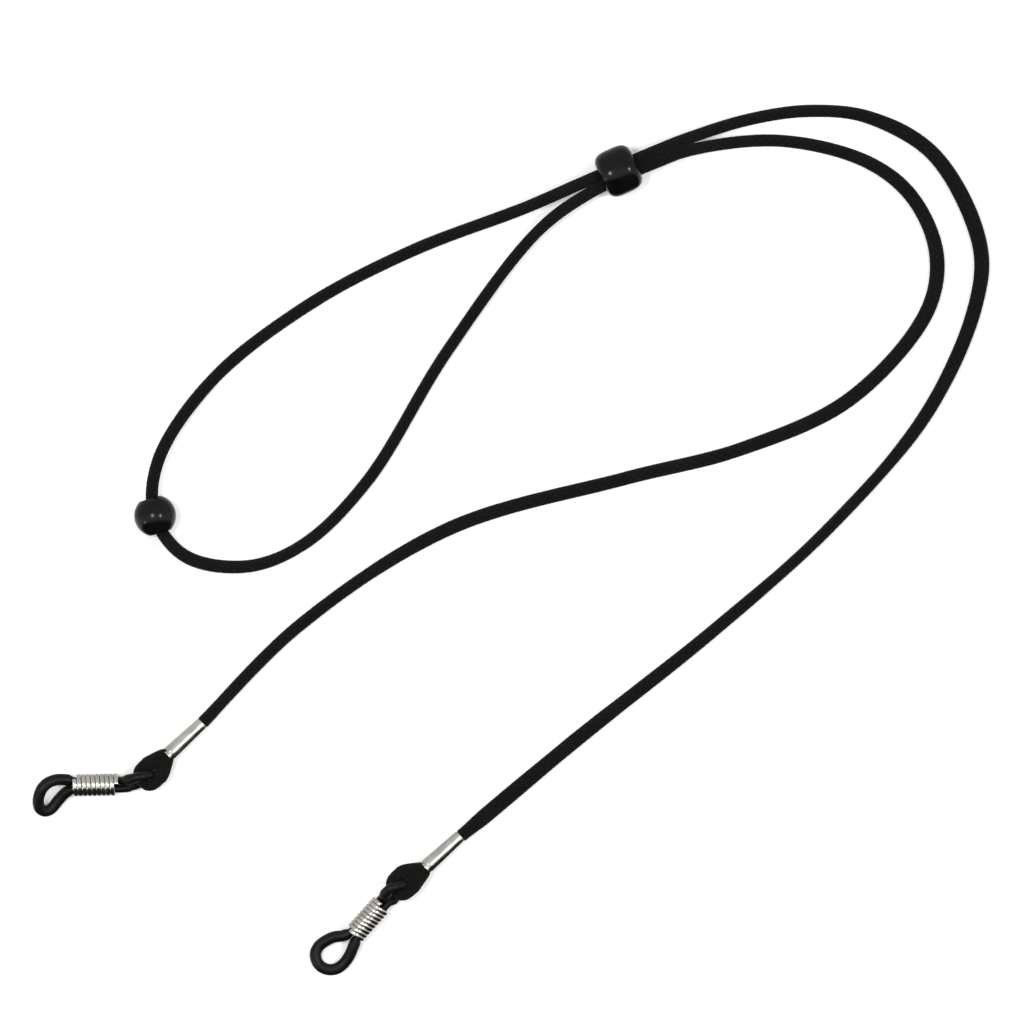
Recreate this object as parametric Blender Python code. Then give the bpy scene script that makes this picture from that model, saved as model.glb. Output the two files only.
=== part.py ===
"""Adjustable cord strap for eyeglasses, lying loosely on a flat surface.

One black woven cord runs from the left end fitting to the right one. On its way it passes
through the slider bead, folds through the stop bead, and passes through the slider bead again.
At each end the cord is folded into a small flat eye that is held by a tapered metal ferrule.
A closed ring of rubber cord hangs in each eye, and a wire coil slides on its two strands, so
that the open end of the ring grips the temple arm of a pair of glasses.

Units are metres, +Z is up, and the strap rests on z = 0. The origin is under the middle of the
strap's box, and +X is its longest side.
"""
from math import ceil, cos, pi, radians, sin

import bmesh
import bpy
from mathutils import Matrix, Vector

MM = 0.001
GAP = 0.3 * MM

# Woven cord
CORD_RADIUS = 1.1 * MM
CORD_BEVEL_RESOLUTION = 2
CORD_TURN_PER_POINT = radians(13)
CORD_LONGEST_STEP = 17 * MM

# Slider bead: a barrel around two strands of the cord
SLIDER_CENTRE = Vector((0.0205, 0.0699, 0.00455))
SLIDER_HEADING = radians(24.5)
SLIDER_RADIUS = 4.55 * MM
SLIDER_HALF_LENGTH = 3.85 * MM
SLIDER_BORE = 2.75 * MM
SLIDER_SQUARENESS = 3.7

# Stop bead: a round bead on the fold of the cord
STOP_CENTRE = Vector((-0.0674, 0.0045, 0.0040))
STOP_HEADING = radians(107)
STOP_RADIUS = 4.0 * MM
STOP_BORE = 1.75 * MM
STOP_SQUARENESS = 2.0

# Ferrule: a tapered tube, squeezed over the folded end of the cord
FERRULE_LENGTH = 9.2 * MM
FERRULE_EYE_RADIUS = 1.45 * MM
FERRULE_CORD_RADIUS = 1.2 * MM
FERRULE_WALL = 0.2 * MM
FERRULE_TILT = radians(8.3)

# Eye: the flat folded end of the cord, with a hole for the rubber ring
EYE_HEIGHT = 3.25 * MM
EYE_HOLE_RADIUS = 1.25 * MM
EYE_RADIUS = 3.15 * MM
EYE_NECK = 2.6 * MM
EYE_NECK_SHARPNESS = 8
EYE_HALF_THICKNESS = 0.9 * MM
STEM_EYE_RADIUS = 1.1 * MM
STEM_CORD_RADIUS = 0.85 * MM
STEM_START = 3.5 * MM

# Temple loop: a closed ring of rubber cord, squeezed flat inside the coil
RUBBER_RADIUS = 1.1 * MM
RUBBER_RADIUS_AT_EYE = 0.93 * MM
RUBBER_SQUEEZE = 0.56
STRAND_OFFSET = 0.78 * MM
WRAP_CENTRE = 2.35 * MM
WRAP_RADIUS = 2.25 * MM
RUBBER_SIDES = 10
RUBBER_STEPS = 3

# Coil: a close-wound spring of flattened wire
COIL_HEIGHT = 2.2 * MM
COIL_OUTER_RADIUS = 2.15 * MM
COIL_WIRE_THICKNESS = 0.48 * MM
COIL_TURNS = 9.1
COIL_SEGMENTS = 12
COIL_WIRE_SIDES = 8

ROUND_SEGMENTS = 32

# The cord's centre line, from the left ferrule to the right one.
CORD_ROUTE = [
    (-0.0583, -0.0346, 0.00125),
    (-0.0402, -0.0164, 0.0011),
    (-0.0118, 0.0020, 0.0011),
    (0.0218, 0.0116, 0.0011),
    (0.0438, 0.0172, 0.0011),
    (0.0645, 0.0267, 0.0011),
    (0.0791, 0.0433, 0.0011),
    (0.0809, 0.0543, 0.0011),
    (0.0763, 0.0650, 0.0011),
    (0.0678, 0.0717, 0.0011),
    (0.0515, 0.0757, 0.0014),
    (0.0346, 0.0743, 0.0040),
    (0.0275, 0.0715, 0.0044),
    (0.0148, 0.0656, 0.0044),
    (0.0050, 0.0583, 0.0031),
    (-0.0122, 0.0355, 0.0011),
    (-0.0273, 0.0110, 0.0011),
    (-0.0393, -0.0009, 0.0011),
    (-0.0500, -0.0051, 0.0013),
    (-0.0618, -0.0031, 0.0035),
    (-0.0675, 0.0045, 0.0040),
    (-0.0669, 0.0148, 0.0035),
    (-0.0568, 0.0301, 0.0011),
    (-0.0386, 0.0444, 0.0011),
    (-0.0188, 0.0548, 0.0011),
    (0.0030, 0.0633, 0.0031),
    (0.0136, 0.0679, 0.0044),
    (0.0264, 0.0736, 0.0044),
    (0.0334, 0.0765, 0.0040),
    (0.0454, 0.0798, 0.0014),
    (0.0567, 0.0814, 0.0011),
    (0.0680, 0.0802, 0.0011),
    (0.0805, 0.0730, 0.0011),
    (0.0891, 0.0561, 0.0011),
    (0.0884, 0.0448, 0.0011),
    (0.0792, 0.0242, 0.0011),
    (0.0606, 0.0023, 0.0011),
    (0.0388, -0.0171, 0.0011),
    (0.0124, -0.0381, 0.0011),
    (-0.0093, -0.0562, 0.0012),
]

# Each end fitting. "hole" is the middle of the cord's eye. "ferrule" holds its heading in degrees,
# its distance from the hole, and how far it stands to the left of the hole. "loop" is the heading
# of the coil. "coil" holds the distance along that heading where the coil starts, its offset to
# the left, and its pitch. The rubber ring is given as distance along the loop's heading, distance
# to its left, and height: "hole" in "wrap" is how far left it passes through the hole, "rim" and
# "spread" are the middle and half the gap of its two strands beside the eye's rim, "upper" and
# "lower" are the strands between the eye and the coil, and "route" is the ring beyond the coil.
END_FITTINGS = {
    "left": {
        "hole": (-0.0683, -0.0444),
        "ferrule": (43.0, 0.00455, 0.00034),
        "loop": 181.0,
        "coil": (0.0061, 0.0020, 0.00088),
        "wrap": {"hole": 0.0001, "rim": 0.00115, "spread": 0.00065},
        "upper": [(0.0039, 0.0010, 0.0049), (0.0052, 0.00125, 0.0030)],
        "lower": [(0.0039, 0.0023, 0.0013), (0.0052, 0.00275, 0.0019)],
        "route": [
            (0.0162, 0.0009, 0.0026),
            (0.0180, 0.0009, 0.0033),
            (0.0196, 0.0015, 0.0037),
            (0.0206, 0.0025, 0.0038),
            (0.0212, 0.0038, 0.0035),
            (0.0214, 0.0052, 0.0029),
            (0.0211, 0.0063, 0.0022),
            (0.0202, 0.0068, 0.0015),
            (0.0191, 0.0064, 0.00115),
            (0.0175, 0.0046, 0.0013),
            (0.0160, 0.0032, 0.0018),
        ],
    },
    "right": {
        "hole": (-0.0203, -0.0652),
        "ferrule": (42.1, 0.00485, -0.0006),
        "loop": 228.0,
        "coil": (0.00555, -0.0004, 0.00082),
        "wrap": {"hole": 0.0, "rim": -0.0003, "spread": 0.0009},
        "upper": [(0.0035, -0.0013, 0.0049), (0.0047, -0.00115, 0.0030)],
        "lower": [(0.0035, 0.0007, 0.0013), (0.0047, 0.0004, 0.0019)],
        "route": [
            (0.0151, -0.0018, 0.0021),
            (0.0164, -0.0029, 0.0017),
            (0.0180, -0.0036, 0.0014),
            (0.0197, -0.0039, 0.00115),
            (0.0211, -0.0035, 0.00115),
            (0.0221, -0.0023, 0.00115),
            (0.0223, -0.0009, 0.00115),
            (0.0218, 0.0004, 0.00115),
            (0.0207, 0.0014, 0.00115),
            (0.0191, 0.0018, 0.00115),
            (0.0172, 0.0016, 0.0014),
            (0.0151, 0.0009, 0.0020),
        ],
    },
}


def remove_everything():
    for old in list(bpy.data.objects):
        bpy.data.objects.remove(old, do_unlink=True)


def material(name, colour, roughness, metallic=0.0):
    made = bpy.data.materials.new(name)
    made.use_nodes = True
    shader = made.node_tree.nodes["Principled BSDF"]
    shader.inputs["Base Color"].default_value = (*colour, 1.0)
    shader.inputs["Roughness"].default_value = roughness
    shader.inputs["Metallic"].default_value = metallic
    return made


def add_object(name, bm, look):
    """A smooth-shaded object from a bmesh, which is freed."""
    bmesh.ops.recalc_face_normals(bm, faces=bm.faces)
    for face in bm.faces:
        face.smooth = True
    mesh = bpy.data.meshes.new(name)
    bm.to_mesh(mesh)
    bm.free()
    mesh.materials.append(look)
    made = bpy.data.objects.new(name, mesh)
    bpy.context.scene.collection.objects.link(made)
    return made


def smooth_curve(points, steps, closed=False):
    """Points on a centripetal Catmull-Rom curve through the given points."""
    count = len(points)
    spans = count if closed else count - 1
    made = []
    for k in range(spans):
        if closed:
            a, b, c, d = (points[(k + j) % count] for j in (-1, 0, 1, 2))
        else:
            b, c = points[k], points[k + 1]
            a = points[k - 1] if k else b * 2 - c
            d = points[k + 2] if k + 2 < count else c * 2 - b
        t1 = (b - a).length ** 0.5
        t2 = t1 + (c - b).length ** 0.5
        t3 = t2 + (d - c).length ** 0.5
        for step in range(steps):
            t = t1 + (t2 - t1) * step / steps
            ab = a.lerp(b, t / t1)
            bc = b.lerp(c, (t - t1) / (t2 - t1))
            cd = c.lerp(d, (t - t2) / (t3 - t2))
            abc = ab.lerp(bc, t / t2)
            bcd = bc.lerp(cd, (t - t1) / (t3 - t1))
            made.append(abc.lerp(bcd, (t - t1) / (t2 - t1)))
    if not closed:
        made.append(points[-1].copy())
    return made


def thinned(points, turn, step):
    """The points of a fine curve that are a given turn or a given step apart."""
    kept = [points[0]]
    heading = points[1] - points[0]
    for k in range(1, len(points) - 1):
        ahead = points[k + 1] - points[k]
        if ahead.angle(heading) >= turn or (points[k] - kept[-1]).length >= step:
            kept.append(points[k])
            heading = ahead
    kept.append(points[-1])
    return kept


def sweep(frames, outline, closed):
    """A bmesh tube: the outline of (side, up) offsets carried along (centre, side, up) frames."""
    bm = bmesh.new()
    rings = []
    for centre, side, up in frames:
        rings.append([bm.verts.new(centre + side * a + up * b) for a, b in outline])
    count = len(outline)
    for k in range(len(rings) if closed else len(rings) - 1):
        here = rings[k]
        there = rings[(k + 1) % len(rings)]
        for j in range(count):
            n = (j + 1) % count
            bm.faces.new((here[j], there[j], there[n], here[n]))
    if not closed:
        bm.faces.new(rings[0])
        bm.faces.new(rings[-1])
    return bm


def turned(name, outline, look):
    """A body of revolution about its own X axis, from a closed outline of (along, radius)."""
    frames = []
    for k in range(ROUND_SEGMENTS):
        angle = 2 * pi * k / ROUND_SEGMENTS
        frames.append((Vector(), Vector((1, 0, 0)), Vector((0, cos(angle), sin(angle)))))
    return add_object(name, sweep(frames, outline, closed=True), look)


def bead_outline(half_length, radius, bore, squareness, points=14):
    """Half of a bead's section: a superellipse, cut by the bore, with softened bore mouths."""
    lip = 0.25 * MM
    start = (bore + lip) / radius
    first = start ** (squareness / 2)
    outline = []
    for k in range(points + 1):
        height = first + (1 - first) * sin(pi * k / points)
        along = max(0.0, 1 - height ** 2) ** (1 / squareness) * half_length
        side = -1 if k < points / 2 else 1
        outline.append((side * along, height ** (2 / squareness) * radius))
    mouth = outline[-1][0] - lip
    return outline + [(mouth, bore), (-mouth, bore)]


def bead(name, centre, heading, outline, look):
    made = turned(name, outline, look)
    made.location = centre
    made.rotation_euler = (0, 0, heading)
    return made


def cord_run(look):
    """The free stretch of the cord, as a round tube on a poly spline."""
    fine = smooth_curve([Vector(p) for p in CORD_ROUTE], steps=24)
    points = thinned(fine, CORD_TURN_PER_POINT, CORD_LONGEST_STEP)
    curve = bpy.data.curves.new("cord_run", "CURVE")
    curve.dimensions = "3D"
    curve.bevel_depth = CORD_RADIUS
    curve.bevel_resolution = CORD_BEVEL_RESOLUTION
    curve.use_fill_caps = True
    curve.materials.append(look)
    spline = curve.splines.new("POLY")
    spline.points.add(len(points) - 1)
    for target, point in zip(spline.points, points):
        target.co = (point.x, point.y, max(point.z, CORD_RADIUS), 1.0)
    made = bpy.data.objects.new("cord_run", curve)
    bpy.context.scene.collection.objects.link(made)


def fitting_root(side, fitting):
    """An empty at the hole of the eye, with +X towards the ferrule."""
    root = bpy.data.objects.new(f"fitting_root_{side}", None)
    root.location = (*fitting["hole"], EYE_HEIGHT)
    root.rotation_euler = (0, 0, radians(fitting["ferrule"][0]))
    bpy.context.scene.collection.objects.link(root)
    return root


def ferrule_place(fitting):
    """The ferrule's mouth beside the eye, in the frame of the fitting's empty, with +X inwards."""
    _, distance, sideways = fitting["ferrule"]
    tilt = Matrix.Rotation(FERRULE_TILT, 4, "Y")
    return Matrix.Translation((0, sideways, 0)) @ tilt @ Matrix.Translation((distance, 0, 0))


def ferrule(side, fitting, root, look):
    inner_eye = FERRULE_EYE_RADIUS - FERRULE_WALL
    inner_cord = FERRULE_CORD_RADIUS - FERRULE_WALL
    edge = 0.06 * MM
    outline = [
        (0.0, inner_eye),
        (0.0, FERRULE_EYE_RADIUS - edge),
        (edge, FERRULE_EYE_RADIUS),
        (FERRULE_LENGTH - edge, FERRULE_CORD_RADIUS),
        (FERRULE_LENGTH, FERRULE_CORD_RADIUS - edge),
        (FERRULE_LENGTH, inner_cord),
    ]
    made = turned(f"ferrule_{side}", outline, look)
    made.parent = root
    made.matrix_local = ferrule_place(fitting)


def cord_eye(side, fitting, root, look):
    """The flat eye, joined to the stem of folded cord that fills the ferrule."""
    around = 40
    section = 12
    _, distance, sideways = fitting["ferrule"]
    front = distance - GAP
    bm = bmesh.new()
    rings = []
    for k in range(around):
        angle = 2 * pi * k / around
        rim = EYE_RADIUS + EYE_NECK * max(0.0, cos(angle)) ** EYE_NECK_SHARPNESS
        if rim * cos(angle) > front:
            rim = front / cos(angle)
        middle = (rim + EYE_HOLE_RADIUS) / 2
        half_width = (rim - EYE_HOLE_RADIUS) / 2
        ring = []
        for j in range(section):
            turn = 2 * pi * j / section
            reach = middle + half_width * cos(turn)
            lean = sideways * share(reach * cos(angle), EYE_HOLE_RADIUS, front)
            height = EYE_HALF_THICKNESS * sin(turn)
            ring.append(bm.verts.new((reach * cos(angle), reach * sin(angle) + lean, height)))
        rings.append(ring)
    for k in range(around):
        here = rings[k]
        there = rings[(k + 1) % around]
        for j in range(section):
            n = (j + 1) % section
            bm.faces.new((here[j], there[j], there[n], here[n]))
    eye = add_object(f"cord_eye_{side}", bm, look)
    eye.parent = root

    stem_bm = bmesh.new()
    stem_length = distance + FERRULE_LENGTH - STEM_START
    bmesh.ops.create_cone(
        stem_bm,
        cap_ends=True,
        segments=20,
        radius1=STEM_EYE_RADIUS,
        radius2=STEM_CORD_RADIUS,
        depth=stem_length,
        matrix=Matrix.Translation((STEM_START + stem_length / 2, 0, 0)) @ Matrix.Rotation(pi / 2, 4, "Y"),
    )
    stem = add_object(f"stem_{side}", stem_bm, look)
    stem.parent = root
    stem.location = (0, sideways, 0)
    stem.rotation_euler = (0, FERRULE_TILT, 0)
    stem.hide_render = True
    stem.display_type = "WIRE"
    union = eye.modifiers.new("Stem", "BOOLEAN")
    union.operation = "UNION"
    union.object = stem
    union.solver = "EXACT"


def loop_root(side, fitting):
    """An empty on the vertical axis that the temple loop swings on, with +X along the coil."""
    root = bpy.data.objects.new(f"loop_root_{side}", None)
    root.location = (*fitting["hole"], 0)
    root.rotation_euler = (0, 0, radians(fitting["loop"]))
    bpy.context.scene.collection.objects.link(root)
    return root


def ring_route(fitting):
    """The rubber ring's centre line: round the eye's rim, through the coil, and back."""
    start, offset, pitch = fitting["coil"]
    length = coil_length(pitch)
    lead = fitting["wrap"]
    wrap = []
    for degrees in (90, 125, 155, 180, 205, 235, 270):
        out = 1 + cos(radians(degrees))
        rise = sin(radians(degrees))
        along = WRAP_CENTRE + WRAP_RADIUS * (out - 1)
        left = lead["hole"] + out * (lead["rim"] - lead["spread"] * rise)
        wrap.append(Vector((along, left, EYE_HEIGHT + WRAP_RADIUS * rise)))
    upper = [Vector(p) for p in fitting["upper"]]
    lower = [Vector(p) for p in fitting["lower"]]
    inside = (start + 0.1 * length, start + 0.5 * length, start + 0.96 * length)
    onward = [Vector((along, offset - STRAND_OFFSET, COIL_HEIGHT)) for along in inside]
    back = [Vector((along, offset + STRAND_OFFSET, COIL_HEIGHT)) for along in reversed(inside)]
    opening = [Vector(p) for p in fitting["route"]]
    return wrap[::-1] + upper + onward + opening + back + lower[::-1]


def carried_frames(points):
    """Side and up directions carried round a closed line without twisting, and then closed."""
    count = len(points)
    ahead = [(points[(k + 1) % count] - points[k - 1]).normalized() for k in range(count)]
    side = ahead[0].cross(Vector((0, 0, 1)))
    if side.length < 0.1:
        side = ahead[0].cross(Vector((1, 0, 0)))
    side.normalize()
    sides = [side]
    for k in range(1, count + 1):
        side = ahead[k - 1].rotation_difference(ahead[k % count]) @ side
        sides.append(side.normalized())
    last = sides.pop()
    error = last.angle(sides[0])
    if last.cross(sides[0]).dot(ahead[0]) < 0:
        error = -error
    frames = []
    for k in range(count):
        side = Matrix.Rotation(error * k / count, 3, ahead[k]) @ sides[k]
        frames.append((points[k], side, ahead[k].cross(side)))
    return frames


def share(value, low, high):
    """How far a value is from low to high, from 0 to 1, with soft ends."""
    part = min(1.0, max(0.0, (value - low) / (high - low)))
    return part * part * (3 - 2 * part)


def temple_loop(side, fitting, root, look):
    start, offset, pitch = fitting["coil"]
    end = start + coil_length(pitch)
    points = smooth_curve(ring_route(fitting), RUBBER_STEPS, closed=True)
    outline = []
    for j in range(RUBBER_SIDES):
        angle = 2 * pi * j / RUBBER_SIDES
        outline.append((cos(angle) * RUBBER_RADIUS, sin(angle) * RUBBER_RADIUS))
    frames = []
    for centre, across, up in carried_frames(points):
        at_eye = 1 - share(centre.x, 2.5 * MM, 5 * MM)
        scale = 1 - at_eye * (1 - RUBBER_RADIUS_AT_EYE / RUBBER_RADIUS)
        frames.append((centre, across * scale, up * scale))
    bm = sweep(frames, outline, closed=True)
    for k, (centre, across, up) in enumerate(frames):
        entering = share(centre.x, start - 2.0 * MM, start - 0.6 * MM)
        leaving = share(centre.x, end, end + 1.1 * MM)
        squeeze = 1 - (1 - RUBBER_SQUEEZE) * (entering - leaving)
        if squeeze == 1:
            continue
        sideways = across.cross(up).cross(Vector((0, 0, 1))).normalized()
        bm.verts.ensure_lookup_table()
        for vertex in bm.verts[k * RUBBER_SIDES:(k + 1) * RUBBER_SIDES]:
            vertex.co -= sideways * ((vertex.co - centre).dot(sideways) * (1 - squeeze))
    made = add_object(f"temple_loop_{side}", bm, look)
    made.parent = root


def coil_wire_width(pitch):
    return pitch - 0.09 * MM


def coil_length(pitch):
    return COIL_TURNS * pitch + coil_wire_width(pitch)


def coil(side, fitting, root, look):
    """The wire coil, wound about the X axis of the loop's empty."""
    start, offset, pitch = fitting["coil"]
    width = coil_wire_width(pitch)
    outline = []
    for j in range(COIL_WIRE_SIDES):
        angle = 2 * pi * (j + 0.5) / COIL_WIRE_SIDES
        outline.append((cos(angle) * width / 2, sin(angle) * COIL_WIRE_THICKNESS / 2))
    radius = COIL_OUTER_RADIUS - COIL_WIRE_THICKNESS / 2
    frames = []
    steps = ceil(COIL_TURNS * COIL_SEGMENTS)
    for k in range(steps + 1):
        turns = COIL_TURNS * k / steps
        angle = 2 * pi * turns
        outward = Vector((0, -sin(angle), cos(angle)))
        centre = Vector((width / 2 + turns * pitch, 0, 0)) + outward * radius
        frames.append((centre, Vector((1, 0, 0)), outward))
    made = add_object(f"coil_{side}", sweep(frames, outline, closed=False), look)
    made.parent = root
    made.location = (start, offset, COIL_HEIGHT)


def build():
    remove_everything()
    woven = material("woven_cord", (0.010, 0.010, 0.009), 0.85)
    rubber = material("rubber", (0.014, 0.014, 0.013), 0.45)
    nickel = material("nickel", (0.78, 0.76, 0.71), 0.18, 1.0)
    plastic = material("bead_plastic", (0.006, 0.006, 0.006), 0.12)

    cord_run(woven)
    slider = bead_outline(SLIDER_HALF_LENGTH, SLIDER_RADIUS, SLIDER_BORE, SLIDER_SQUARENESS)
    bead("slider_bead", SLIDER_CENTRE, SLIDER_HEADING, slider, plastic)
    stop = bead_outline(STOP_RADIUS, STOP_RADIUS, STOP_BORE, STOP_SQUARENESS)
    bead("stop_bead", STOP_CENTRE, STOP_HEADING, stop, plastic)
    for side, fitting in END_FITTINGS.items():
        fixed = fitting_root(side, fitting)
        ferrule(side, fitting, fixed, nickel)
        cord_eye(side, fitting, fixed, woven)
        swinging = loop_root(side, fitting)
        temple_loop(side, fitting, swinging, rubber)
        coil(side, fitting, swinging, nickel)


build()
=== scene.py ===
"""Visual model of an adjustable cord strap for eyeglasses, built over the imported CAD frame.

One black woven cord runs from the left ferrule to the right one, through the slider bead, the
stop bead and the slider bead again. Its ends are folded into eyes. A rubber ring hangs in each
eye, with a nickel coil that slides on its two strands. Every piece here is a detailed version of
a CAD node and rides on that node's body. Units are metres, +Z is up, and the floor is z = 0.
"""
from math import ceil, cos, pi, radians, sin

import bmesh
import bpy
from mathutils import Matrix, Vector, noise


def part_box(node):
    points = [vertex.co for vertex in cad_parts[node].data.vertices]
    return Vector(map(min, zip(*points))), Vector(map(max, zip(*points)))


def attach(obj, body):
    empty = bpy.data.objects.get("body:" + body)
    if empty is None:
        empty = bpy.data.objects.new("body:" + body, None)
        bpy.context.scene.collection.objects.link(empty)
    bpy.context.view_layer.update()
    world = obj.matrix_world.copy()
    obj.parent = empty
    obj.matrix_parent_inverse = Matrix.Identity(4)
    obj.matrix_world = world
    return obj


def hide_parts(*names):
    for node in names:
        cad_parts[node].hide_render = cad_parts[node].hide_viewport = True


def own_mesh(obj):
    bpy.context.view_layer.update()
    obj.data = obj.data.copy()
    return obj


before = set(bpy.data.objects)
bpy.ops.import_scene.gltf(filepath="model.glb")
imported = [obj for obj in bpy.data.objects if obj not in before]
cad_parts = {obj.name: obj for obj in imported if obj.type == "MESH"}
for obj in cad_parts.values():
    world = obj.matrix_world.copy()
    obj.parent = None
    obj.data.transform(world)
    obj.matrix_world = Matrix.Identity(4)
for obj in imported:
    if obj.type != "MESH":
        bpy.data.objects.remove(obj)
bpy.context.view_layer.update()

MM = 0.001

# Floor: a lit white panel, which lifts the soft shadows on it
FLOOR_GLOW = 0.15
FLOOR_HALF_SIZE = 4.0

# Light tent: the horizontal direction of its dark opening, its tones from the far side (0) to the
# opening (1), and the pale ground, which starts and is full at these heights of a unit direction
TENT_STRENGTH = 1.40
TENT_OPENING = (0.14, -0.99, 0.0)
TENT_TONES = [(0.0, 0.50), (0.44, 0.62), (0.55, 0.95), (0.71, 0.95), (0.76, 0.012)]
GROUND_START = -0.70
GROUND_FULL = -0.90
GROUND_TONE = 0.8

# Lamps: name, place, width and power
LAMPS = [
    ("lamp_left", (-0.30, 0.05, 1.05), 0.20, 4.2),
    ("lamp_right", (0.56, 0.02, 1.05), 0.20, 4.2),
    ("lamp_low", (-1.24, -0.76, 0.56), 0.14, 1.2),
]

# Camera: straight above, framing the whole strap
VIEW_WIDTH = 0.1946
VIEW_CENTRE = (0.000285, 0.005225)
LENS_MM = 400
SENSOR_MM = 36

# Cord
CORD_STEP = 0.3 * MM
CORD_SIDES = 32
CORD_SECTION = 4.75 * MM * MM
CORD_IN_FERRULE = 0.98 * MM
CORD_AT_MOUTH = 1.21 * MM
CORD_HELD_FROM = 0.8 * MM
CORD_HELD_TO = 2.4 * MM
CORD_MOUTH_START = 2.3 * MM
CORD_MOUTH_END = 2.7 * MM
CORD_TAPER_START = 2.6 * MM
CORD_TAPER_END = 9.0 * MM
BRAID_YARNS = 8
BRAID_TWIST = 2600
BRAID_RELIEF = 0.010
CORD_LUMPINESS = 0.025

# Ferrule
FERRULE_LENGTH = 9.2 * MM
FERRULE_EYE_RADIUS = 1.45 * MM
FERRULE_CORD_RADIUS = 1.2 * MM
FERRULE_WALL = 0.2 * MM
FERRULE_TILT = radians(8.3)
FERRULE_SEAM = radians(5)
FERRULE_TURNS = 72
FERRULE_STEPS = 12
FERRULE_DENT = 0.012 * MM

# Eye
EYE_HEIGHT = 3.25 * MM
EYE_STEP = 0.12 * MM

# Temple loop
RUBBER_RADIUS = 1.1 * MM
RUBBER_RADIUS_AT_EYE = 0.93 * MM
RUBBER_SQUEEZE = 0.70
RUBBER_STEP = 0.16 * MM
SOFT_SIDES = 28
RING_SPLIT = 0.6
STRAND_OFFSET = 0.78 * MM
WRAP_CENTRE = 2.35 * MM
WRAP_RADIUS = 2.25 * MM

# Coil
COIL_HEIGHT = 2.2 * MM
COIL_OUTER_RADIUS = 2.15 * MM
COIL_WIRE_THICKNESS = 0.48 * MM
COIL_TURNS = 9.1
COIL_STEPS_A_TURN = 40
COIL_WANDER = 0.02 * MM
WIRE_GAP = 0.09 * MM
WIRE_SHARE = 0.96
WIRE_SIDES = 16

# Beads: the heading in degrees, the half length along the bore, the outer radius, the bore's
# radius, and how square the outline is (2 is round)
BEADS = {
    "slider_bead": (24.5, 3.85 * MM, 4.55 * MM, 2.75 * MM, 3.7),
    "stop_bead": (107, 4.0 * MM, 4.0 * MM, 1.75 * MM, 2.0),
}
BEAD_LIP = 0.35 * MM
BEAD_TURNS = 96

# The cord's centre line, from the left ferrule to the right one. At the slider bead the two soft
# strands are pressed together, up to half a millimetre from where the CAD's round tubes lie.
CORD_ROUTE = [
    (-0.0583, -0.0346, 0.00125),
    (-0.0402, -0.0164, 0.0011),
    (-0.0118, 0.0020, 0.0011),
    (0.0218, 0.0116, 0.0011),
    (0.0438, 0.0172, 0.0011),
    (0.0645, 0.0267, 0.0011),
    (0.0791, 0.0433, 0.0011),
    (0.0809, 0.0543, 0.0011),
    (0.0763, 0.0650, 0.0011),
    (0.0678, 0.0717, 0.0011),
    (0.0515, 0.0757, 0.0014),
    (0.0346, 0.0740, 0.0040),
    (0.0275, 0.0715, 0.0044),
    (0.0148, 0.0656, 0.0044),
    (0.0050, 0.0583, 0.0031),
    (-0.0122, 0.0355, 0.0011),
    (-0.0273, 0.0110, 0.0011),
    (-0.0393, -0.0009, 0.0011),
    (-0.0500, -0.0051, 0.0013),
    (-0.0618, -0.0031, 0.0035),
    (-0.0675, 0.0045, 0.0040),
    (-0.0669, 0.0148, 0.0035),
    (-0.0568, 0.0301, 0.0011),
    (-0.0386, 0.0444, 0.0011),
    (-0.0188, 0.0548, 0.0011),
    (0.0030, 0.06305, 0.0031),
    (0.0136, 0.06765, 0.0044),
    (0.0264, 0.0732, 0.0044),
    (0.0334, 0.0760, 0.0040),
    (0.0454, 0.0798, 0.0014),
    (0.0567, 0.0814, 0.0011),
    (0.0680, 0.0802, 0.0011),
    (0.0805, 0.0730, 0.0011),
    (0.0891, 0.0561, 0.0011),
    (0.0884, 0.0448, 0.0011),
    (0.0792, 0.0242, 0.0011),
    (0.0606, 0.0023, 0.0011),
    (0.0388, -0.0171, 0.0011),
    (0.0124, -0.0381, 0.0011),
    (-0.0093, -0.0562, 0.0012),
]

# How wide the soft cord lies at a distance along it: it twists between its flat and its edge.
CORD_WIDTHS = [
    (0.000, 2.25 * MM),
    (0.040, 2.35 * MM),
    (0.060, 2.60 * MM),
    (0.110, 2.55 * MM),
    (0.150, 2.70 * MM),
    (0.171, 2.80 * MM),
    (0.190, 2.65 * MM),
    (0.209, 2.35 * MM),
    (0.222, 2.32 * MM),
    (0.258, 2.32 * MM),
    (0.270, 2.20 * MM),
    (0.300, 2.25 * MM),
    (0.345, 2.25 * MM),
    (0.361, 2.50 * MM),
    (0.380, 2.35 * MM),
    (0.460, 2.30 * MM),
    (0.475, 2.34 * MM),
    (0.515, 2.30 * MM),
    (0.535, 2.35 * MM),
    (0.552, 2.80 * MM),
    (0.570, 3.00 * MM),
    (0.589, 2.75 * MM),
    (0.608, 2.60 * MM),
    (0.627, 2.20 * MM),
    (0.650, 2.20 * MM),
    (0.668, 2.40 * MM),
    (0.686, 2.60 * MM),
    (0.705, 2.80 * MM),
    (0.727, 3.00 * MM),
]

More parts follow.
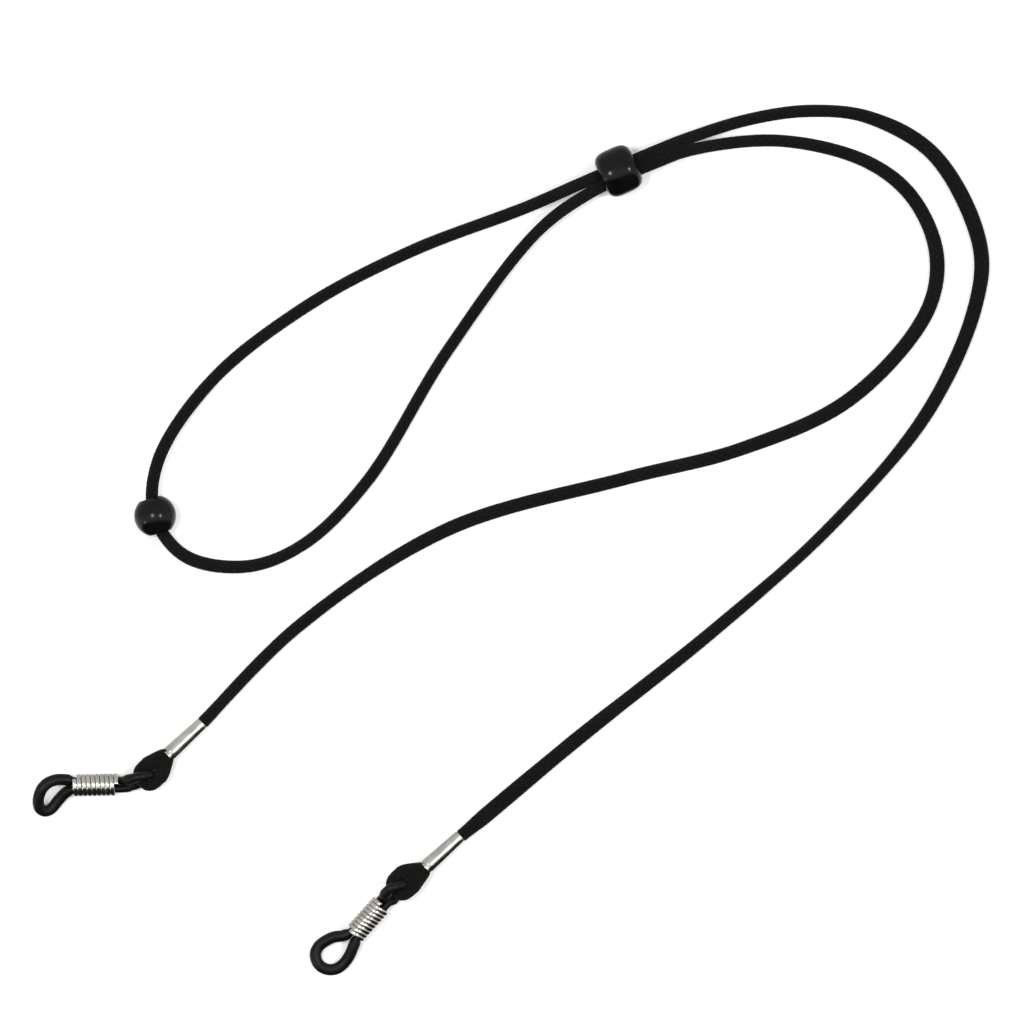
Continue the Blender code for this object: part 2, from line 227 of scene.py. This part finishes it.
# Each end fitting. "hole" is the middle of the cord's eye. "ferrule" holds its heading in degrees,
# its distance from the hole, and how far it stands to the left of the hole. "loop" is the heading
# of the coil, and "closing" is the direction in which the rubber's opening narrows. "coil" holds
# the distance along the loop's heading where the coil starts, its offset to the left, and its
# pitch. The rubber ring is given as distance along the loop's heading, distance to its left, and
# height: "hole" in "wrap" is how far left it passes through the hole, "rim" and "spread" are the
# middle and half the gap of its two strands beside the eye's rim, "upper" and "lower" are the
# strands between the eye and the coil, and "route" is the ring beyond the coil.
END_FITTINGS = {
    "left": {
        "hole": (-0.0683, -0.0444),
        "ferrule": (43.0, 0.00455, 0.00034),
        "loop": 181.0,
        "closing": (0.0, 0.877, -0.48),
        "coil": (0.0061, 0.0020, 0.00088),
        "wrap": {"hole": 0.0001, "rim": 0.00115, "spread": 0.00065},
        "upper": [(0.0039, 0.0010, 0.0049), (0.0052, 0.00125, 0.0030)],
        "lower": [(0.0039, 0.0023, 0.0013), (0.0052, 0.00275, 0.0019)],
        "route": [
            (0.0162, 0.0009, 0.0026),
            (0.0180, 0.0009, 0.0033),
            (0.0196, 0.0015, 0.0037),
            (0.0206, 0.0025, 0.0038),
            (0.0212, 0.0038, 0.0035),
            (0.0214, 0.0052, 0.0029),
            (0.0211, 0.0063, 0.0022),
            (0.0202, 0.0068, 0.0015),
            (0.0191, 0.0064, 0.00115),
            (0.0175, 0.0046, 0.0013),
            (0.0160, 0.0032, 0.0018),
        ],
    },
    "right": {
        "hole": (-0.0203, -0.0652),
        "ferrule": (42.1, 0.00485, -0.0006),
        "loop": 228.0,
        "closing": (0.0, 1.0, 0.0),
        "coil": (0.00555, -0.0004, 0.00082),
        "wrap": {"hole": 0.0, "rim": -0.0003, "spread": 0.0009},
        "upper": [(0.0035, -0.0013, 0.0049), (0.0047, -0.00115, 0.0030)],
        "lower": [(0.0035, 0.0007, 0.0013), (0.0047, 0.0004, 0.0019)],
        "route": [
            (0.0151, -0.0018, 0.0021),
            (0.0164, -0.0029, 0.0017),
            (0.0180, -0.0036, 0.0014),
            (0.0197, -0.0039, 0.00115),
            (0.0211, -0.0035, 0.00115),
            (0.0221, -0.0023, 0.00115),
            (0.0223, -0.0009, 0.00115),
            (0.0218, 0.0004, 0.00115),
            (0.0207, 0.0014, 0.00115),
            (0.0191, 0.0018, 0.00115),
            (0.0172, 0.0016, 0.0014),
            (0.0151, 0.0009, 0.0020),
        ],
    },
}


# ---------------------------------------------------------------- camera

def make_camera():
    data = bpy.data.cameras.new("camera")
    data.lens = LENS_MM
    data.sensor_width = SENSOR_MM
    data.clip_start = 0.01
    data.clip_end = 50
    camera = bpy.data.objects.new("camera", data)
    camera.location = (*VIEW_CENTRE, VIEW_WIDTH * LENS_MM / SENSOR_MM)
    bpy.context.scene.collection.objects.link(camera)
    bpy.context.scene.camera = camera


# ---------------------------------------------------------------- node helpers

def new_material(name, roughness, metallic=0.0, specular=0.5):
    """A material and its shader, with the constant values on the shader's own sockets."""
    made = bpy.data.materials.new(name)
    made.use_nodes = True
    shader = made.node_tree.nodes["Principled BSDF"]
    shader.inputs["Roughness"].default_value = roughness
    shader.inputs["Metallic"].default_value = metallic
    shader.inputs["Specular IOR Level"].default_value = specular
    return made, shader


def add_node(made, kind, inputs=None, **settings):
    """A node of that kind. inputs maps socket names or numbers to a value or a linked socket."""
    node = made.node_tree.nodes.new(kind)
    for key, value in settings.items():
        setattr(node, key, value)
    for key, value in (inputs or {}).items():
        if isinstance(value, bpy.types.NodeSocket):
            made.node_tree.links.new(value, node.inputs[key])
        else:
            node.inputs[key].default_value = value
    return node


def link(made, source, target):
    made.node_tree.links.new(source, target)


def ramp(made, factor, stops):
    """A colour ramp over factor, from (position, grey or colour) stops."""
    node = add_node(made, "ShaderNodeValToRGB", {"Fac": factor})
    elements = node.color_ramp.elements
    while len(elements) < len(stops):
        elements.new(0.5)
    for element, (position, value) in zip(elements, stops):
        colour = value if isinstance(value, tuple) else (value, value, value)
        element.position = position
        element.color = (*colour, 1.0)
    return node.outputs["Color"]


def scaled(made, source, scale):
    return add_node(made, "ShaderNodeMapping", {"Vector": source, "Scale": scale}).outputs[0]


def noise_value(made, vector, scale, detail=3.0):
    inputs = {"Vector": vector, "Scale": scale, "Detail": detail}
    return add_node(made, "ShaderNodeTexNoise", inputs).outputs[0]


def mixed(made, blend_type, first, second):
    inputs = {"Factor": 1.0, 6: first, 7: second}
    return add_node(made, "ShaderNodeMix", inputs, data_type="RGBA", blend_type=blend_type).outputs[2]


def bump(made, height, distance, strength=1.0, under=None):
    inputs = {"Height": height, "Distance": distance, "Strength": strength}
    if under is not None:
        inputs["Normal"] = under
    return add_node(made, "ShaderNodeBump", inputs).outputs["Normal"]


# ---------------------------------------------------------------- materials

def woven_material():
    """Matte black braid: crossing diagonal yarns over fine fibres, with dull lighter lint."""
    made, shader = new_material("woven_cord", 0.9, specular=0.08)
    place = add_node(made, "ShaderNodeTexCoord")
    uv = place.outputs["UV"]
    yarns = []
    for lean in (1.0, -1.0):
        vector = scaled(made, uv, (12.0, 1150.0 * lean, 1.0))
        inputs = {"Vector": vector, "Scale": 0.32, "Distortion": 0.6, "Detail": 1.0}
        yarns.append(add_node(made, "ShaderNodeTexWave", inputs, bands_direction="DIAGONAL").outputs["Fac"])
    braid = add_node(made, "ShaderNodeMath", {0: yarns[0], 1: yarns[1]}, operation="MULTIPLY").outputs[0]
    fibres = noise_value(made, scaled(made, uv, (60.0, 2600.0, 1.0)), 1.0, 4.0)
    patches = noise_value(made, place.outputs["Object"], 260.0, 4.0)
    weave_tone = ramp(made, braid, [(0.0, (0.0030, 0.0029, 0.0025)), (1.0, (0.0060, 0.0058, 0.0051))])
    lint = ramp(made, fibres, [(0.62, 0.0), (0.80, (0.014, 0.014, 0.012))])
    shade = ramp(made, patches, [(0.30, 0.75), (0.70, 1.20)])
    tone = mixed(made, "MULTIPLY", mixed(made, "ADD", weave_tone, lint), shade)
    link(made, tone, shader.inputs["Base Color"])
    link(made, ramp(made, fibres, [(0.0, 0.80), (1.0, 0.98)]), shader.inputs["Roughness"])
    coarse = bump(made, braid, 0.05 * MM)
    link(made, bump(made, fibres, 0.02 * MM, under=coarse), shader.inputs["Normal"])
    shader.inputs["Sheen Weight"].default_value = 0.03
    shader.inputs["Sheen Roughness"].default_value = 0.6
    return made


def rubber_material():
    """Smooth black rubber with a satin sheen, faint drag lines and a little grey bloom."""
    made, shader = new_material("temple_rubber", 0.45, specular=0.14)
    place = add_node(made, "ShaderNodeTexCoord")
    uv = place.outputs["UV"]
    drag = noise_value(made, scaled(made, uv, (26.0, 160.0, 1.0)), 1.0, 3.0)
    grain = noise_value(made, place.outputs["Object"], 2600.0, 3.0)
    bloom = noise_value(made, place.outputs["Object"], 420.0, 5.0)
    tone = ramp(made, bloom, [(0.35, (0.0030, 0.0030, 0.0028)), (0.75, (0.0062, 0.0062, 0.0058))])
    link(made, tone, shader.inputs["Base Color"])
    link(made, ramp(made, bloom, [(0.30, 0.34), (0.75, 0.52)]), shader.inputs["Roughness"])
    lines = bump(made, drag, 0.02 * MM)
    link(made, bump(made, grain, 0.006 * MM, under=lines), shader.inputs["Normal"])
    return made


def nickel_material(name, along):
    """Polished warm nickel with drawing lines along the metal and dull patches."""
    made, shader = new_material(name, 0.15, metallic=1.0)
    place = add_node(made, "ShaderNodeTexCoord")
    uv = place.outputs["UV"]
    lines = noise_value(made, scaled(made, uv, along), 1.0, 3.0)
    patches = noise_value(made, place.outputs["Object"], 500.0, 4.0)
    tone = ramp(made, patches, [(0.30, (0.46, 0.445, 0.405)), (0.70, (0.60, 0.585, 0.54))])
    link(made, tone, shader.inputs["Base Color"])
    dull = add_node(made, "ShaderNodeMath", {0: lines, 1: patches}, operation="MULTIPLY").outputs[0]
    link(made, ramp(made, dull, [(0.05, 0.14), (0.50, 0.30)]), shader.inputs["Roughness"])
    link(made, bump(made, lines, 0.004 * MM), shader.inputs["Normal"])
    return made


def plastic_material():
    """Glossy black moulded plastic with fine handling scratches and duller worn patches."""
    made, shader = new_material("bead_plastic", 0.1, specular=0.17)
    place = add_node(made, "ShaderNodeTexCoord")
    where = place.outputs["Object"]
    wear = noise_value(made, where, 380.0, 5.0)
    ripple = noise_value(made, where, 240.0, 1.0)
    scratches = noise_value(made, scaled(made, where, (700.0, 5200.0, 2600.0)), 1.0, 2.0)
    tone = ramp(made, wear, [(0.30, (0.0022, 0.0022, 0.0022)), (0.80, (0.0045, 0.0044, 0.0042))])
    link(made, tone, shader.inputs["Base Color"])
    link(made, ramp(made, wear, [(0.35, 0.14), (0.75, 0.26)]), shader.inputs["Roughness"])
    waves = bump(made, ripple, 0.02 * MM)
    link(made, bump(made, scratches, 0.0012 * MM, under=waves), shader.inputs["Normal"])
    return made


def floor_material():
    made, shader = new_material("floor", 0.9, specular=0.1)
    place = add_node(made, "ShaderNodeTexCoord")
    tone = ramp(made, noise_value(made, place.outputs["Object"], 30.0, 3.0), [(0.3, 0.93), (0.7, 0.95)])
    link(made, tone, shader.inputs["Base Color"])
    link(made, tone, shader.inputs["Emission Color"])
    shader.inputs["Emission Strength"].default_value = FLOOR_GLOW
    return made


# ---------------------------------------------------------------- curves and meshes

def smooth_curve(points, steps, closed=False):
    """Points on a centripetal Catmull-Rom curve through the given points."""
    count = len(points)
    spans = count if closed else count - 1
    made = []
    for k in range(spans):
        if closed:
            a, b, c, d = (points[(k + j) % count] for j in (-1, 0, 1, 2))
        else:
            b, c = points[k], points[k + 1]
            a = points[k - 1] if k else b * 2 - c
            d = points[k + 2] if k + 2 < count else c * 2 - b
        t1 = (b - a).length ** 0.5
        t2 = t1 + (c - b).length ** 0.5
        t3 = t2 + (d - c).length ** 0.5
        for step in range(steps):
            t = t1 + (t2 - t1) * step / steps
            ab = a.lerp(b, t / t1)
            bc = b.lerp(c, (t - t1) / (t2 - t1))
            cd = c.lerp(d, (t - t2) / (t3 - t2))
            abc = ab.lerp(bc, t / t2)
            bcd = bc.lerp(cd, (t - t1) / (t3 - t1))
            made.append(abc.lerp(bcd, (t - t1) / (t2 - t1)))
    if not closed:
        made.append(points[-1].copy())
    return made


def distances(points):
    made = [0.0]
    for a, b in zip(points, points[1:]):
        made.append(made[-1] + (b - a).length)
    return made


def evenly(points, step):
    """The same line with points about a step apart."""
    along = distances(points)
    count = max(2, round(along[-1] / step))
    made = []
    k = 0
    for j in range(count + 1):
        target = along[-1] * j / count
        while k < len(points) - 2 and along[k + 1] < target:
            k += 1
        part = (target - along[k]) / max(along[k + 1] - along[k], 1e-9)
        made.append(points[k].lerp(points[k + 1], part))
    return made


def share(value, low, high):
    """How far a value is from low to high, from 0 to 1, with soft ends."""
    part = min(1.0, max(0.0, (value - low) / (high - low)))
    return part * part * (3 - 2 * part)


def read_table(table, value):
    """A smooth reading between the rows of a (position, value) table."""
    for (a, va), (b, vb) in zip(table, table[1:]):
        if value <= b:
            return va + (vb - va) * share(value, a, b)
    return table[-1][1]


def carried_frames(points):
    """(point, side, up) frames carried along an open line without twisting."""
    last = len(points) - 1
    ahead = [(points[min(k + 1, last)] - points[max(k - 1, 0)]).normalized() for k in range(last + 1)]
    side = ahead[0].cross(Vector((0, 0, 1)))
    if side.length < 0.1:
        side = ahead[0].cross(Vector((1, 0, 0)))
    side.normalize()
    made = []
    for k, point in enumerate(points):
        if k:
            side = (ahead[k - 1].rotation_difference(ahead[k]) @ side).normalized()
        made.append((point, side, ahead[k].cross(side)))
    return made


def skin(name, rings, along, closed=False):
    """A closed smooth mesh over rings of points, with UVs: u round a ring and v = along, in metres."""
    bm = bmesh.new()
    uv = bm.loops.layers.uv.new("UVMap")
    rows = [[bm.verts.new(point) for point in ring] for ring in rings]
    count = len(rings[0])
    for k in range(len(rows) if closed else len(rows) - 1):
        here = rows[k]
        there = rows[(k + 1) % len(rows)]
        for j in range(count):
            n = (j + 1) % count
            face = bm.faces.new((here[j], there[j], there[n], here[n]))
            corners = ((j, k), (j, k + 1), (j + 1, k + 1), (j + 1, k))
            for loop, (a, b) in zip(face.loops, corners):
                loop[uv].uv = (a / count, along[b])
    if not closed:
        bm.faces.new(rows[0])
        bm.faces.new(rows[-1])
    bmesh.ops.recalc_face_normals(bm, faces=bm.faces)
    for face in bm.faces:
        face.smooth = len(face.verts) == 4
    mesh = bpy.data.meshes.new(name)
    bm.to_mesh(mesh)
    bm.free()
    made = bpy.data.objects.new(name, mesh)
    bpy.context.scene.collection.objects.link(made)
    return made


def finish_piece(piece, look, slot, body, *nodes):
    piece.data.materials.append(look)
    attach(piece, body)
    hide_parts(*nodes)


def oval(centre, side, up, half_width, half_height, sides):
    made = []
    for j in range(sides):
        angle = 2 * pi * j / sides
        made.append(centre + side * (half_width * cos(angle)) + up * (half_height * sin(angle)))
    return made


# ---------------------------------------------------------------- places of the end fittings

def fitting_matrix(fitting):
    """From the eye's own frame, with +X towards the ferrule and z = 0 at the eye, to the world."""
    turn = Matrix.Rotation(radians(fitting["ferrule"][0]), 4, "Z")
    return Matrix.Translation((*fitting["hole"], EYE_HEIGHT)) @ turn


def ferrule_matrix(fitting):
    """From the ferrule's own frame, with +X from the eye's side to the cord's, to the world."""
    _, distance, sideways = fitting["ferrule"]
    tilt = Matrix.Rotation(FERRULE_TILT, 4, "Y")
    shift = Matrix.Translation((0, sideways, 0))
    return fitting_matrix(fitting) @ shift @ tilt @ Matrix.Translation((distance, 0, 0))


def loop_matrix(fitting):
    turn = Matrix.Rotation(radians(fitting["loop"]), 4, "Z")
    return Matrix.Translation((*fitting["hole"], 0)) @ turn


def coil_wire_width(pitch):
    return pitch - WIRE_GAP


def coil_length(pitch):
    return COIL_TURNS * pitch + coil_wire_width(pitch)


# ---------------------------------------------------------------- cord

def cord_line():
    """The cord's whole centre line, with both ends carried on into the ferrules."""
    ends = []
    for side in ("left", "right"):
        place = ferrule_matrix(END_FITTINGS[side])
        depths = (CORD_HELD_TO, CORD_HELD_FROM)
        ends.append([place @ Vector((FERRULE_LENGTH - depth, 0, 0)) for depth in depths])
    route = [Vector(point) for point in CORD_ROUTE]
    return evenly(smooth_curve(ends[0] + route + ends[1][::-1], 24), CORD_STEP)


def make_cord(look):
    """The woven cord: a soft oval tube that twists, rests on the floor and is pinched at its ends."""
    line = cord_line()
    along = distances(line)
    rings = []
    for k, point in enumerate(line):
        ahead = (line[min(k + 1, len(line) - 1)] - line[max(k - 1, 0)]).normalized()
        side = ahead.cross(Vector((0, 0, 1))).normalized()
        up = side.cross(ahead)
        half_width = read_table(CORD_WIDTHS, along[k]) / 2
        half_height = CORD_SECTION / 4 / half_width
        to_end = min(along[k], along[-1] - along[k])
        out = share(to_end, CORD_MOUTH_START, CORD_MOUTH_END)
        at_mouth = CORD_IN_FERRULE + (CORD_AT_MOUTH - CORD_IN_FERRULE) * out
        free = share(to_end, CORD_TAPER_START, CORD_TAPER_END)
        half_width = at_mouth + (half_width - at_mouth) * free
        half_height = at_mouth + (half_height - at_mouth) * free
        lump = 1 + CORD_LUMPINESS * noise.noise(Vector((along[k] * 180, 0.3, 0.7)))
        centre = Vector((point.x, point.y, max(point.z, half_height * lump)))
        ring = []
        for j in range(CORD_SIDES):
            angle = 2 * pi * j / CORD_SIDES
            twist = along[k] * BRAID_TWIST
            braid = cos(BRAID_YARNS * angle + twist) * cos(BRAID_YARNS * angle - twist)
            swell = lump * (1 + BRAID_RELIEF * braid)
            outward = side * (half_width * swell * cos(angle)) + up * (half_height * swell * sin(angle))
            ring.append(centre + outward)
        rings.append(ring)
    cord = skin("cord", rings, along)
    finish_piece(cord, look, "cord", "strap", "cord_run")


# ---------------------------------------------------------------- end fittings

# The left half of the cord's fold, from inside the ferrule to its far end: distance from the hole
# towards the ferrule, distance to the left, and half the ply's width, in millimetres.
FOLD_ROWS = [
    (10.0, 0.50, 0.46),
    (7.0, 0.54, 0.50),
    (5.2, 0.60, 0.58),
    (4.5, 0.78, 0.84),
    (3.6, 1.00, 1.08),
    (2.6, 1.20, 1.32),
    (1.6, 1.42, 1.48),
    (0.6, 1.62, 1.50),
    (-0.4, 1.88, 1.16),
    (-1.3, 1.78, 1.06),
    (-1.95, 1.26, 1.04),
    (-2.12, 0.44, 1.04),
]
FOLD_HALF_HEIGHT = 0.98 * MM


def make_eye(side, fitting, look):
    """The cord's folded end: two flattened plies with a crease between them, round the hole."""
    _, distance, sideways = fitting["ferrule"]
    rows = FOLD_ROWS + [(x, -y, half) for x, y, half in reversed(FOLD_ROWS)]
    route = []
    for x, y, half in rows:
        lean = sideways * share(x * MM, 1.2 * MM, distance)
        drop = max(0.0, x * MM - 2.5 * MM) * sin(FERRULE_TILT)
        sunk = min(drop * 1.6, x * MM * sin(FERRULE_TILT)) if x > 0 else 0.0
        route.append(Vector((x * MM, y * MM + lean, -sunk, half * MM)))
    line = evenly(smooth_curve(route, 16), EYE_STEP)
    points = [Vector(point[:3]) for point in line]
    along = distances(points)
    rings = []
    for k, point in enumerate(points):
        ahead = (points[min(k + 1, len(points) - 1)] - points[max(k - 1, 0)]).normalized()
        across = ahead.cross(Vector((0, 0, 1))).normalized()
        up = across.cross(ahead)
        inside = share(point.x, 4.4 * MM, 5.2 * MM)
        lump = 1 + 0.05 * noise.noise(Vector((along[k] * 400, 2.0, 5.0)))
        height = (FOLD_HALF_HEIGHT + 0.06 * MM * inside) * lump
        rings.append(oval(point, across, up, line[k][3], height, SOFT_SIDES))
    place = fitting_matrix(fitting)
    rings = [[place @ point for point in ring] for ring in rings]
    eye = skin(f"cord_fold_{side}", rings, along)
    finish_piece(eye, look, "cord", "strap", f"cord_eye_{side}")


def make_ferrule(side, fitting, look):
    """A tapered tube rolled from sheet, with rounded lips and its open seam underneath."""
    outline = []
    lip = FERRULE_WALL / 2
    for end, start in ((0.0, pi), (FERRULE_LENGTH, 0.0)):
        middle = end + (lip if end == 0.0 else -lip)
        for step in range(7):
            angle = start + (pi / 2 - pi * step / 6) * (-1 if end == 0.0 else 1)
            outline.append((middle + lip * cos(angle), lip * sin(angle)))
    spread = []
    for k in range(1, FERRULE_STEPS):
        spread.append((lip + (FERRULE_LENGTH - 2 * lip) * k / FERRULE_STEPS, lip))
    section = outline[:7] + spread + outline[7:] + [(x, -lip) for x, _ in reversed(spread)]
    rings = []
    along = []
    for k in range(FERRULE_TURNS + 1):
        angle = -pi / 2 + FERRULE_SEAM + (2 * pi - 2 * FERRULE_SEAM) * k / FERRULE_TURNS
        outward = Vector((0, cos(angle), sin(angle)))
        ring = []
        for x, y in section:
            radius = FERRULE_EYE_RADIUS + (FERRULE_CORD_RADIUS - FERRULE_EYE_RADIUS) * x / FERRULE_LENGTH
            dent = FERRULE_DENT * noise.noise(Vector((x * 300, cos(angle) * 1.4, sin(angle) * 1.4)))
            ring.append(Vector((x, 0, 0)) + outward * (radius - lip + y + dent))
        rings.append(ring)
        along.append(angle * FERRULE_EYE_RADIUS)
    place = ferrule_matrix(fitting)
    rings = [[place @ point for point in ring] for ring in rings]
    made = skin(f"crimp_ferrule_{side}", rings, along)
    finish_piece(made, look, "nickel", "strap", f"ferrule_{side}")


def ring_route(fitting):
    """The rubber ring's centre line: round the eye's rim, through the coil, and back."""
    start, offset, pitch = fitting["coil"]
    length = coil_length(pitch)
    lead = fitting["wrap"]
    wrap = []
    for degrees in (90, 125, 155, 180, 205, 235, 270):
        out = 1 + cos(radians(degrees))
        rise = sin(radians(degrees))
        along = WRAP_CENTRE + WRAP_RADIUS * (out - 1)
        left = lead["hole"] + out * (lead["rim"] - lead["spread"] * rise)
        wrap.append(Vector((along, left, EYE_HEIGHT + WRAP_RADIUS * rise)))
    upper = [Vector(p) for p in fitting["upper"]]
    lower = [Vector(p) for p in fitting["lower"]]
    inside = (start + 0.1 * length, start + 0.5 * length, start + 0.96 * length)
    onward = [Vector((along, offset - STRAND_OFFSET, COIL_HEIGHT)) for along in inside]
    back = [Vector((along, offset + STRAND_OFFSET, COIL_HEIGHT)) for along in reversed(inside)]
    opening = [Vector(p) for p in fitting["route"]]
    return wrap[::-1] + upper + onward + opening + back + lower[::-1]


def rubber_piece(name, line, fitting, look):
    """A stretch of the rubber ring, thinner through the eye and squeezed oval in the coil."""
    start, _, pitch = fitting["coil"]
    end = start + coil_length(pitch)
    along = distances(line)
    rings = []
    for centre, across, up in carried_frames(line):
        at_eye = 1 - share(centre.x, 2.5 * MM, 5 * MM)
        radius = RUBBER_RADIUS + (RUBBER_RADIUS_AT_EYE - RUBBER_RADIUS) * at_eye
        entering = share(centre.x, start - 2.0 * MM, start - 0.6 * MM)
        leaving = share(centre.x, end - 0.3 * MM, end + 0.9 * MM)
        squeeze = 1 - (1 - RUBBER_SQUEEZE) * (entering - leaving)
        ring = oval(centre, across, up, radius, radius, SOFT_SIDES)
        if squeeze < 1:
            sideways = across.cross(up).cross(Vector((0, 0, 1))).normalized()
            for point in ring:
                point -= sideways * ((point - centre).dot(sideways) * (1 - squeeze))
        rings.append(ring)
    place = loop_matrix(fitting)
    rings = [[place @ point for point in ring] for ring in rings]
    return skin(name, rings, along)


def make_temple_loop(side, fitting, look):
    """The rubber ring in two pieces that meet inside the coil: its grip on the eye and its opening."""
    start, offset, pitch = fitting["coil"]
    split = start + RING_SPLIT * coil_length(pitch)
    line = smooth_curve(ring_route(fitting), 12, closed=True)
    inside = [k for k, point in enumerate(line) if point.x > split]
    first, last = inside[0], inside[-1]
    opening = line[first:last + 1]
    grip = line[last:] + line[:first + 1]
    node = f"temple_loop_{side}"
    held = rubber_piece(f"temple_loop_grip_{side}", evenly(grip, RUBBER_STEP), fitting, look)
    finish_piece(held, look, "rubber", node, node)
    end = rubber_piece(f"temple_loop_opening_{side}", evenly(opening, RUBBER_STEP), fitting, look)
    finish_piece(end, look, "rubber", node, node)
    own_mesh(end)


def flat_oval(centre, side, up, half_width, half_height):
    """The section of flattened wire: a rounded rectangle, fuller than an oval."""
    made = []
    for j in range(WIRE_SIDES):
        angle = 2 * pi * j / WIRE_SIDES
        x = abs(cos(angle)) ** 0.75 * (1 if cos(angle) > 0 else -1)
        y = abs(sin(angle)) ** 0.75 * (1 if sin(angle) > 0 else -1)
        made.append(centre + side * (half_width * x) + up * (half_height * y))
    return made


def make_coil(side, fitting, look):
    """The wound spring, with its turns almost touching and both ends cut square."""
    start, offset, pitch = fitting["coil"]
    width = coil_wire_width(pitch)
    radius = COIL_OUTER_RADIUS - COIL_WIRE_THICKNESS / 2
    steps = ceil(COIL_TURNS * COIL_STEPS_A_TURN)
    rings = []
    along = []
    place = loop_matrix(fitting) @ Matrix.Translation((start, offset, COIL_HEIGHT))
    for k in range(steps + 1):
        turns = COIL_TURNS * k / steps
        angle = 2 * pi * turns
        outward = Vector((0, -sin(angle), cos(angle)))
        wander = COIL_WANDER * noise.noise(Vector((turns * 0.8, 4.0, 1.0)))
        centre = Vector((width / 2 + turns * pitch + wander, 0, 0)) + outward * radius
        half_width = WIRE_SHARE * pitch / 2
        ring = flat_oval(centre, Vector((1, 0, 0)), outward, half_width, COIL_WIRE_THICKNESS / 2)
        rings.append([place @ point for point in ring])
        along.append(angle * radius)
    made = skin(f"wire_coil_{side}", rings, along)
    finish_piece(made, look, "nickel", f"coil_{side}", f"coil_{side}")


# ---------------------------------------------------------------- beads

def bead_section(half_length, radius, bore, squareness):
    """A bead's section as (along, radius) points: its outside, round bore mouths and bore."""
    lip = BEAD_LIP
    points = 48
    first = ((bore + lip) / radius) ** (squareness / 2)
    section = []
    for k in range(points + 1):
        height = first + (1 - first) * sin(pi * k / points)
        along = max(0.0, 1 - height ** 2) ** (1 / squareness) * half_length
        side = -1 if k < points / 2 else 1
        section.append((side * along, height ** (2 / squareness) * radius))
    edge = section[-1][0]
    for degrees in (20, 40, 60, 80, 90):
        angle = radians(degrees)
        section.append((edge - lip * (1 - cos(angle)), bore + lip * (1 - sin(angle))))
    mouth = [(-x, y) for x, y in section[-5:]]
    for k in range(1, 8):
        section.append((section[points + 5][0] * (1 - k / 4), bore))
    return section + mouth[::-1]


def make_bead(node, heading, half_length, radius, bore, squareness, look):
    low, high = (Vector(corner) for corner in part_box(node))
    place = Matrix.Translation((low + high) / 2) @ Matrix.Rotation(heading, 4, "Z")
    section = bead_section(half_length, radius, bore, squareness)
    rings = []
    for k in range(BEAD_TURNS):
        angle = 2 * pi * k / BEAD_TURNS
        outward = Vector((0, cos(angle), sin(angle)))
        rings.append([place @ (Vector((x, 0, 0)) + outward * y) for x, y in section])
    along = [2 * pi * radius * k / BEAD_TURNS for k in range(BEAD_TURNS + 1)]
    made = skin(f"{node}_moulded", rings, along, closed=True)
    finish_piece(made, look, "bead_plastic", node, node)


# ---------------------------------------------------------------- floor and light

def make_floor(look):
    bm = bmesh.new()
    bmesh.ops.create_grid(bm, x_segments=8, y_segments=8, size=FLOOR_HALF_SIZE)
    mesh = bpy.data.meshes.new("floor")
    bm.to_mesh(mesh)
    bm.free()
    mesh.materials.append(look)
    floor = bpy.data.objects.new("floor", mesh)
    bpy.context.scene.collection.objects.link(floor)
    floor.visible_glossy = False


def make_lamp(name, location, size, power):
    data = bpy.data.lights.new(name, "AREA")
    data.shape = "DISK"
    data.size = size
    data.energy = power
    lamp = bpy.data.objects.new(name, data)
    lamp.location = location
    lamp.rotation_euler = (-Vector(location)).to_track_quat("-Z", "Y").to_euler()
    bpy.context.scene.collection.objects.link(lamp)


def make_world():
    """A pale light tent with a dark opening on the near side and a pale ground underneath."""
    world = bpy.data.worlds.new("light_tent")
    world.use_nodes = True
    bpy.context.scene.world = world
    tree = world.node_tree
    background = tree.nodes["Background"]
    direction = add_node(world, "ShaderNodeTexCoord").outputs["Generated"]
    inputs = {0: direction, 1: TENT_OPENING}
    toward = add_node(world, "ShaderNodeVectorMath", inputs, operation="DOT_PRODUCT").outputs["Value"]
    place = add_node(world, "ShaderNodeMapRange", {"Value": toward, "From Min": -1.0, "From Max": 1.0})
    sides = ramp(world, place.outputs[0], TENT_TONES)
    up = add_node(world, "ShaderNodeSeparateXYZ", {"Vector": direction}).outputs["Z"]
    inputs = {"Value": up, "From Min": GROUND_START, "From Max": GROUND_FULL, "To Max": GROUND_TONE}
    ground = add_node(world, "ShaderNodeMapRange", inputs).outputs[0]
    tone = add_node(world, "ShaderNodeMath", {0: sides, 1: ground}, operation="MAXIMUM")
    tree.links.new(tone.outputs[0], background.inputs["Color"])
    background.inputs["Strength"].default_value = TENT_STRENGTH


def make_lights():
    make_world()
    for lamp in LAMPS:
        make_lamp(*lamp)
    bpy.context.scene.view_settings.view_transform = "Standard"


# ---------------------------------------------------------------- build

make_camera()
woven = woven_material()
make_cord(woven)

rubber = rubber_material()
drawn = nickel_material("nickel_tube", (14.0, 260.0, 1.0))
wire = nickel_material("nickel_wire", (30.0, 40.0, 1.0))
plastic = plastic_material()
for end_side, end_fitting in END_FITTINGS.items():
    make_eye(end_side, end_fitting, woven)
    make_ferrule(end_side, end_fitting, drawn)
    make_temple_loop(end_side, end_fitting, rubber)
    make_coil(end_side, end_fitting, wire)
for bead, (bead_heading, *bead_shape) in BEADS.items():
    make_bead(bead, radians(bead_heading), *bead_shape, plastic)
make_floor(floor_material())
make_lights()
